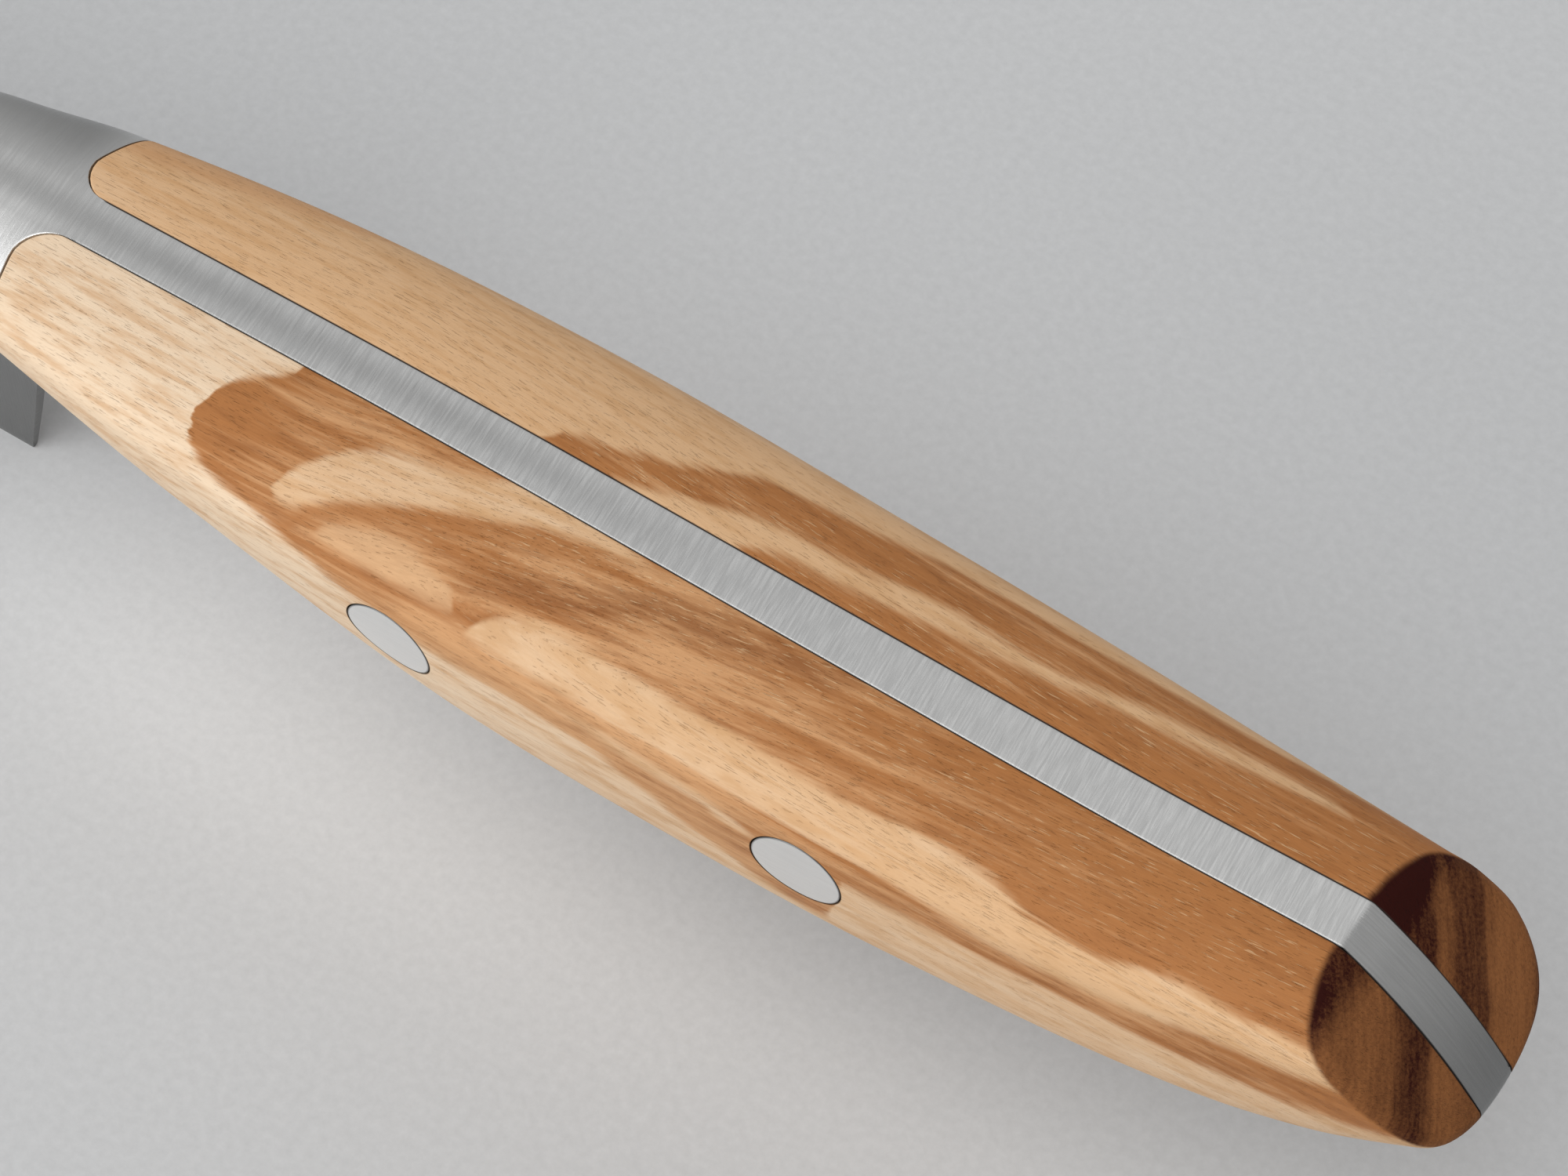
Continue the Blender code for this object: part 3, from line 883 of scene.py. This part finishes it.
# Forms of the figure, each between an upper and a lower edge along the wood
LEFT_HEART = {
    "upper": ((-10, -2), (61.5, -2), (62.25, 0), (63.5, 1.2), (64.5, 2.0), (65.0, 2.8),
              (65.45, 4.6), (66.4, 9), (82, 9)),
    "lower": ((-10, 9.6), (-5, 11), (-2, 11.75), (1, 12.2), (6, 12.4), (11, 12.6), (16, 12.8),
              (21, 12.85), (23.6, 13.0), (24.4, 15.5), (26, 18), (29, 17.4), (31, 16.25),
              (34, 15.25), (37, 14), (39.5, 13.25), (43, 12.75), (46, 12.6), (50, 12.1),
              (53, 11.5), (56, 10.75), (59, 9.75), (61.75, 9), (63.3, 8.6), (64.3, 8.0),
              (65.0, 7.2), (65.45, 5.6), (66.4, 2), (82, 2)),
}
LEFT_WEDGE = {
    "upper": ((-10, 3), (38, 1), (41, 0), (47, -1), (50, 0), (53, 0.9), (55, 1.4), (56.5, 2.1),
              (57.75, 3.5), (59, 5.25), (59.7, 6.75), (60.1, 8.5), (82, 8.5)),
    "lower": ((-10, -1), (36, -1), (39.5, 0.1), (41, 0.5), (44, 0.7), (46, 1.2), (48, 1.9),
              (50, 2.7), (52, 3.5), (54, 4.7), (56, 5.9), (57.5, 7.0), (59, 7.8), (60.1, 7.0),
              (82, 7)),
}
LEFT_FLAME = {
    "upper": ((-10, 6.6), (-2, 6.4), (3, 6.6), (5, 6.5), (7, 6.75), (9, 7.5), (11, 7.9),
              (13.5, 7.75), (15.5, 7), (17.5, 6.4), (20, 6.25), (23, 6.6), (26, 6.75),
              (31, 6.5), (36, 6.5), (42, 6.25), (44, 6.6), (45.25, 7.25), (46, 8.25),
              (46.7, 9.6), (49, 11), (82, 11)),
    "lower": ((-10, 7.4), (-3, 8.5), (0, 9.1), (3, 9.5), (6, 10.1), (8.5, 10.6), (11, 11),
              (14, 11.1), (16, 11), (21, 10.6), (26, 10.4), (31, 10.3), (36, 10.2),
              (39.5, 10.1), (44, 9.9), (46.5, 9.5), (49, 8), (82, 8)),
}
LEFT_SLIVER = {
    "upper": ((-10, 14), (27.5, 13.9), (28.5, 13.3), (31, 12), (34, 11.5), (37, 11.25),
              (39.5, 11.15), (43, 11.1), (46, 12), (82, 12)),
    "lower": ((-10, 12), (27.5, 13.2), (29, 13.25), (32, 12.6), (35, 12.3), (38, 11.8),
              (41, 11.5), (43, 11.0), (46, 10.5), (82, 10.5)),
}

# Lines in the heart of the left scale, and the lighter patch between them
LEFT_CORE = ((-10, -3), (26, -1), (29, 0.4), (31, 0.8), (33.5, 1.2), (36, 1.6), (38.5, 2.1),
             (40, 2.9), (42, 4.0), (45, 5.0), (47.5, 5.7), (50, 6.3), (82, 9))
LEFT_LINE = ((-10, -3), (38, -1), (44, 1.2), (48, 2.5), (50, 3.3), (52, 4.1), (54, 5.3),
             (56, 6.5), (57.2, 7.6), (58.5, 9.5), (82, 20))
LEFT_LIGHT = {
    "upper": ((-10, 12), (46, 10), (48, 7.4), (50, 6.5), (52, 6.1), (54, 6.6), (56, 7.6), (58, 9),
              (82, 9)),
    "lower": ((-10, 8), (46, 8.4), (48, 8.7), (52, 8.9), (55, 8.7), (57, 8.3), (58, 8), (82, 7)),
}

# Forms of the right scale
RIGHT_HEART = {
    "upper": ((-10, 3.2), (0, 2.4), (4, 4.9), (6, 5.3), (11, 4.95), (15, 4.45), (18, 3.8),
              (21, 3.45), (25, 3.5), (28, 3.3), (31, 2.8), (36, 2.4), (38.5, 1.8),
              (41, 0.9), (43, 0.1), (45, -0.7), (47, -2), (82, -2)),
    "lower": ((-10, 8.0), (1, 7.8), (6, 7.6), (11, 7.35), (16, 7.2), (20, 7.05), (26, 6.9),
              (28.5, 6.7), (31, 6.1), (33, 5.75), (36, 5.5), (38.5, 5.0), (40, 4.2),
              (42, 3.1), (44, 2.2), (46, 1.4), (48.5, 0.6), (51, -2), (82, -2)),
}
RIGHT_TAN = {
    "upper": ((-10, 12), (58, 12), (64, 8), (70, 5.6), (76, 4.4), (82, 3.8)),
    "lower": ((-10, 12.5), (82, 13)),
}
RIGHT_UNDER = {
    "upper": ((-10, -2), (40, -2), (82, -2.1)),
    "lower": ((-10, 5), (6, 4.6), (11, 3.9), (16, 3.2), (21, 2.4), (26, 1.9), (31, 1.2),
              (36, 0.5), (40, -1), (82, -2)),
}

# Lean of the grain, lightness of the brown and creaminess of the pale wood along the knife
GRAIN_LEAN = ((-10, -12.5), (0, -11), (20, -8.5), (35, -6.2), (45, -3.8), (55, -1.3), (63, 0),
              (82, 0))
LEFT_DEPTH = ((-10, -0.3), (-2, -0.3), (4, -0.2), (10, 0.0), (24, 0.15), (32, 0.55),
              (40, 0.65), (48, 0.4), (56, 0.5), (59, 0.45), (62, 0.2), (64, 0.0), (67, -0.1))
RIGHT_DEPTH = ((-10, -0.1), (10, 0.0), (18, 0.2), (30, 0.0), (60, 0.1))
LEFT_CREAM = ((-10, 0.0), (30, 0.1), (45, 0.45), (66, 0.95), (74, 1.15), (82, 0.9))
RIGHT_CREAM = ((-10, -0.3), (20, -0.3), (50, -0.1), (82, 0.0))

# Darkness of the rings on the butt facet
LEFT_END = ((-3, 0.4), (-2, 0.35), (-0.7, 0.25), (0.9, 0.3), (1.7, 0.7), (2.7, 0.8),
            (3.2, 0.45), (4.4, 0.15), (5.6, 0.3), (9, 0.35))
RIGHT_END = ((-3, 0.9), (1.0, 0.9), (3.5, 0.85), (4.0, 0.4), (4.5, 0.45), (4.9, 0.75), (6.1, 0.75),
             (6.5, 0.3), (8.2, 0.1), (9, 0.35))

# The whole layout of each scale
LEFT_FIGURE = {
    "heart": (LEFT_HEART,),
    "cleared": (LEFT_WEDGE, LEFT_FLAME, LEFT_SLIVER),
    "core": (LEFT_LIGHT, LEFT_CORE, LEFT_LINE),
    "tan": None,
    "lean": 0.8,
    "depth": LEFT_DEPTH,
    "cream": LEFT_CREAM,
    "end": LEFT_END,
}
RIGHT_FIGURE = {
    "heart": (RIGHT_HEART, RIGHT_UNDER),
    "cleared": (),
    "core": None,
    "tan": RIGHT_TAN,
    "lean": 0.35,
    "depth": RIGHT_DEPTH,
    "cream": RIGHT_CREAM,
    "end": RIGHT_END,
}

# Direction of the rings on the butt facet, as shares down it and across it
RING_DOWN = 0.6085
RING_ACROSS = 0.5591


def end_grain(wood, ring_tones):
    """Share of the end grain at a place, and its colour, darkest in the facet's top corner."""
    down = wood.along(FACET_DOWN)
    bands = down * RING_DOWN - wood.y * RING_ACROSS
    along = down * RING_ACROSS + wood.y * RING_DOWN
    wobble = wood.noise(wood.x * 0.6, wood.y * 0.6, wood.z * 0.6, detail=3.0) - 0.5
    layers = wood.noise(bands * 2.6, along * 0.25, 6.0, detail=4.0, roughness=0.65) - 0.5
    speck = wood.noise(wood.x * 5.0, wood.y * 5.0, wood.z * 5.0, detail=3.0, roughness=0.7) - 0.5
    darkness = wood.table(bands + wobble * 0.7, ring_tones) + layers * 0.9 + speck * 0.85
    darkness = darkness + down.fall(0.8, 2.8) * 0.65
    butt = (wood.along(FACET_OUT) + wobble * 0.2).rise(-0.42, -0.12)
    return butt, wood.mix(darkness, END_MID, END_DARK)


def olive_wood(name, layout):
    """Oiled olive wood, with its brown heart laid out as on one scale."""
    wood = Finish(name)
    across = wood.y.size() - HALF_TANG - wood.z
    lean = wood.table(wood.x, GRAIN_LEAN)
    grain = across - lean * across.fall(6.5, 10.0) * layout["lean"]
    sway = wood.noise(wood.x * 0.09, across * 0.3, 3.0, detail=3.0) - 0.5

    def grained(along, over, seed, detail, roughness=0.5):
        """Noise drawn out along the grain."""
        inward = wood.y.size() * (over * 0.7) + seed
        return wood.noise(wood.x * along, grain * over, inward, detail, roughness)

    feather = grained(0.11, 2.0, 7.0, 4.0, 0.6) - 0.5
    figure = across + sway * 0.5 + feather * 1.5
    place = wood.x + sway * 1.2 + feather * 0.35

    def region(edges):
        """Share of a place that lies between an upper and a lower edge."""
        upper = wood.table(place, edges["upper"])
        lower = wood.table(place, edges["lower"])
        return (figure - upper).rise(-0.45, 0.55) * (lower - figure).rise(-0.45, 0.55)

    def beside(line, start, end):
        """Share that fades away on both sides of a line."""
        return (figure - wood.table(place, line)).size().fall(start, end)

    heart = region(layout["heart"][0])
    for edges in layout["heart"][1:]:
        heart = heart.math("MAXIMUM", region(edges))
    outline = heart
    for edges in layout["cleared"]:
        heart = heart * (1.0 - region(edges))

    rings = grained(0.045, 0.85, 11.0, 4.0, 0.55)
    streaks = grained(0.13, 3.2, 2.0, 4.0, 0.65)
    fibres = grained(0.6, 11.0, 5.0, 3.0, 0.6)
    pores = grained(1.1, 12.0, 9.0, 2.0).rise(0.62, 0.72)
    painted_glint_specks = grained(0.7, 7.5, 21.0, 2.0).rise(0.62, 0.69)
    mottle = grained(0.24, 1.3, 15.0, 4.0, 0.6)

    # Pale wood outside the heart
    creamy = wood.table(wood.x, layout["cream"]) + across.rise(7.0, 11.0) * 0.3
    creamy = creamy * (1.0 - outline * 0.75)
    sap = wood.mix(creamy - (rings - 0.5) * 1.2, PALE, CREAM)
    sap = wood.mix(mottle.rise(0.42, 0.68) * 0.55, sap, PALE_TAN)
    sap = wood.mix(streaks.rise(0.52, 0.74) * 0.18, sap, TAN_DARK)
    if layout["tan"]:
        sap = wood.mix(region(layout["tan"]) * 0.6, sap, BROWN_LIGHT)

    # Brown wood of the heart
    light = (rings - 0.5) * 2.6 + (streaks - 0.5) * 1.3 + wood.table(wood.x, layout["depth"])
    light = light + across.rise(8.5, 10.0) * wood.x.fall(46.0, 56.0) * 0.45
    brown = wood.mix(light.rise(0.0, 1.0), BROWN, BROWN_LIGHT)
    brown = wood.mix(light.rise(1.0, 2.2) * 0.7, brown, PALE)
    brown = wood.mix(mottle.rise(0.46, 0.7) * 0.45, brown, BROWN_DARK)
    if layout["core"]:
        light_patch, dark_line, brown_line = layout["core"]
        brown = wood.mix(region(light_patch) * 0.6, brown, PALE)
        dark = beside(dark_line, 0.1, 1.9) * (0.35 + mottle.rise(0.36, 0.58) * 0.4)
        brown = wood.mix(dark * wood.x.fall(46.5, 49.5), brown, BROWN_DARK)
        brown = wood.mix(beside(brown_line, 0.0, 1.2) * 0.7, brown, BROWN)
    colour = wood.mix(heart, sap, brown)

    # Fine fibres, pores and painted glints (painted highlights) over both
    near_tang = wood.x.fall(48.0, 66.0) * (1.0 - across.rise(2.0, 8.0) * 0.75)
    shade = 1.0 + (streaks - 0.5) * (heart * 0.08 + 0.08) + (fibres - 0.5) * (heart * 0.1 + 0.15)
    shade = wood.node("ShaderNodeCombineColor", inputs=(shade, shade, shade))
    colour = wood.mix(1.0, colour, shade, "MULTIPLY")
    colour = wood.mix(pores * 0.2, colour, BROWN_DARK)
    # Painted highlights: light glints painted along the grain near the tang
    colour = wood.mix(painted_glint_specks * heart * near_tang * 0.35, colour, PAINTED_GLINT)
    butt, end = end_grain(wood, layout["end"])
    colour = wood.mix(butt, colour, end)

    # Painted shade of the gaps where the scale meets the tang and the rivets, drawn as dark lines
    joint = wood.y.size().fall(HALF_TANG + 0.02, HALF_TANG + 0.1)
    for x, z in RIVET_PLACES:
        ring = wood.radius(x, z).fall(HEAD_RADIUS + 0.05, HEAD_RADIUS + 0.13)
        joint = joint.math("MAXIMUM", ring)
    colour = wood.mix(joint, colour, GAP_SHADE)

    roughness = 0.48 + streaks * 0.12 + pores * 0.15 + butt * 0.2
    height = fibres * 0.5 - pores * 0.8 + streaks * 0.3 + painted_glint_specks * 0.3
    wood.shader.inputs["Specular IOR Level"].default_value = 0.12
    return wood.finished(colour, roughness, height, 0.03)


def brushed_steel(name, value):
    """Satin steel, ground across the tang and blade and along the butt."""
    steel = Finish(name)
    out = steel.along(FACET_OUT)
    down = steel.along(FACET_DOWN)
    butt = out.rise(-0.3, -0.02) * down.rise(-0.3, 0.0)
    slant = steel.x + steel.y * 0.12
    across = steel.noise(slant * 8.0, steel.y * 0.35, steel.z * 0.35, detail=4.0, roughness=0.7)
    along = steel.noise(steel.y * 8.0, down * 0.25, 4.0, detail=4.0, roughness=0.7)
    lines = (across + (along - across) * butt).rise(0.3, 0.7)
    hairs = steel.noise(slant * 9.0, steel.y * 0.6, steel.z * 0.5, detail=1.0).rise(0.68, 0.78)
    clouds = steel.noise(steel.x * 0.15, steel.y * 0.6, steel.z * 0.3, detail=3.0)

    # Painted reflection along the tang: lighter on its top towards the butt, and a painted dark band
    # down its middle near the bolster, where it is also plainer
    top = steel.z.rise(-1.6, -0.6)
    painted_dark_band = steel.y.size().fall(0.1, 1.3) * steel.x.rise(28.0, 60.0) * steel.x.fall(88.0, 96.0) * top
    plain = steel.x.rise(55.0, 80.0) * 0.6
    tone = 0.86 + plain * 0.06 + lines * (1.0 - plain) * 0.12 + clouds * 0.1
    tone = tone - hairs * (1.0 - butt) * (1.0 - plain) * 0.12
    # Painted shade on the butt strip, deeper towards its lower end
    tone = tone * (1.0 - butt * 0.37 - (butt * down.rise(2.0, 11.0)) * 0.25)
    tone = tone * (1.0 + top * steel.x.fall(0.0, 45.0) * 0.12) * (1.0 - painted_dark_band * 0.2)

    # Painted shade on the heel and the blade, which stand in the shade of the handle, and a painted
    # reflection on the bolster, lighter on its left flank and darker on its right
    heel = steel.z.fall(-10.0, -5.0) * steel.x.rise(80.0, 84.0) * steel.x.fall(86.0, 112.0)
    bolster = steel.x.rise(77.0, 82.0) * steel.x.fall(86.0, 100.0)
    painted_lit_flank = (steel.y * 0.5).rise(-1.6, 2.2) * (1.0 - heel)
    tone = tone * (1.0 - heel * 0.58 - steel.x.rise(86.0, 112.0) * 0.15)
    tone = tone * (1.0 + (painted_lit_flank * 0.5 - 0.13 - steel.y.fall(-5.5, -1.0) * 0.35) * bolster)

    # Painted shade of the gap where the tang meets the scales, drawn as a dark line
    joint = steel.y.size().rise(HALF_TANG - 0.08, HALF_TANG - 0.01) * steel.x.fall(77.4, 77.7)
    shade = value * tone * (1.0 - joint * 0.85)
    colour = steel.node("ShaderNodeCombineColor", inputs=(shade, shade, shade * 0.99))
    roughness = 0.3 + lines * 0.12
    steel.shader.inputs["Metallic"].default_value = 1.0
    return steel.finished(colour, roughness, lines, 0.008)


def rivet_steel(name, value):
    """Satin steel of the rivet heads, ground in with the wood."""
    steel = Finish(name)
    lines = steel.noise(steel.x * 0.5, steel.z * 6.0, steel.y, detail=3.0, roughness=0.6)
    rim = steel.radius(*RIVET_PLACES[0]).math("MINIMUM", steel.radius(*RIVET_PLACES[1]))
    # Painted shade of the gap round each head, darkening its rim
    shade = value * (0.92 + lines * 0.12) * (1.0 - rim.rise(HEAD_RADIUS - 0.12, HEAD_RADIUS) * 0.8)
    colour = steel.node("ShaderNodeCombineColor", inputs=(shade, shade, shade * 0.99))
    steel.shader.inputs["Metallic"].default_value = 1.0
    return steel.finished(colour, 0.34 + lines * 0.1, lines, 0.004)


scales["left"].data.materials.append(olive_wood("left_olive_wood", LEFT_FIGURE))
scales["right"].data.materials.append(olive_wood("right_olive_wood", RIGHT_FIGURE))
head_finish = rivet_steel("rivet_steel", 0.92)
for rivet in rivets:
    rivet.data.materials.append(head_finish)
forging.data.materials.append(brushed_steel("forged_steel", 0.72))


# Floor
def floor_paper():
    """Matt pale grey paper with a faint tooth, with painted light under and beside the handle and
    painted shade towards the butt end and out on the left.
    """
    paper = Finish("floor_paper")
    tooth = paper.noise(paper.x * 1.6, paper.y * 1.6, 0.0, detail=5.0, roughness=0.65)
    # Painted light under and beside the handle
    under = paper.y.size().fall(0.0, 22.0) * (0.1 + paper.x.rise(25.0, 65.0) * 0.14)
    under = under * paper.x.fall(66.0, 90.0) * paper.x.rise(-30.0, 20.0)
    # Painted shade towards the butt end and out on the left
    shade = (0.50 + tooth * 0.14) * (1.0 + under - paper.x.fall(-10.0, 70.0) * 0.07
                                    - paper.y.rise(0.0, 45.0) * 0.07)
    colour = paper.node("ShaderNodeCombineColor", inputs=(shade * 0.985, shade, shade * 1.015))
    return paper.finished(colour, 0.85 + tooth * 0.1, tooth, 0.01)


FLOOR_HALF = 3.0
floor_bm = bmesh.new()
bmesh.ops.create_grid(floor_bm, x_segments=4, y_segments=4, size=FLOOR_HALF)
floor_mesh = bpy.data.meshes.new("studio_floor")
floor_bm.to_mesh(floor_mesh)
floor_bm.free()
floor = bpy.data.objects.new("studio_floor", floor_mesh)
bpy.context.scene.collection.objects.link(floor)
floor.data.materials.append(floor_paper())


# Camera, in millimetres from the butt corner
CAMERA_LENS = 126.02
CAMERA_PLACE = Vector((-54.68, 126.14, 227.84))
CAMERA_RIGHT = Vector((-0.8291, -0.5591, -0.0108))
CAMERA_UP = Vector((0.4573, -0.6890, 0.5623))
CAMERA_BACK = Vector((-0.3218, 0.4613, 0.8268))

camera_data = bpy.data.cameras.new("camera")
camera_data.lens = CAMERA_LENS
camera_data.sensor_width = 36.0
camera_data.clip_start = 0.01
camera_data.clip_end = 20.0
camera = bpy.data.objects.new("camera", camera_data)
bpy.context.scene.collection.objects.link(camera)
turn = Matrix((CAMERA_RIGHT, CAMERA_UP, CAMERA_BACK)).transposed()
camera.matrix_world = Matrix.Translation(CORNER + CAMERA_PLACE * MM) @ turn.to_4x4()
bpy.context.scene.camera = camera


# Light
LAMP_AIM = Vector((-0.04, 0.0, 0.02))
WORLD_STRENGTH = 0.5


def soft_light(name, place, size, power):
    """A broad soft lamp that points at the handle."""
    data = bpy.data.lights.new(name, "AREA")
    data.shape = "RECTANGLE"
    data.size = size[0]
    data.size_y = size[1]
    data.energy = power
    lamp = bpy.data.objects.new(name, data)
    bpy.context.scene.collection.objects.link(lamp)
    lamp.location = place
    lamp.rotation_euler = (LAMP_AIM - Vector(place)).to_track_quat("-Z", "Y").to_euler()


soft_light("key_light", (0.1, 0.5, 1.1), (1.3, 1.3), 9.0)
soft_light("side_light", (0.55, 0.95, 0.3), (1.0, 0.5), 6.0)
world = bpy.data.worlds.new("studio")
world.use_nodes = True
world.node_tree.nodes["Background"].inputs["Color"].default_value = (1.0, 1.0, 1.0, 1.0)
world.node_tree.nodes["Background"].inputs["Strength"].default_value = WORLD_STRENGTH
bpy.context.scene.world = world
bpy.context.scene.view_settings.view_transform = "Standard"
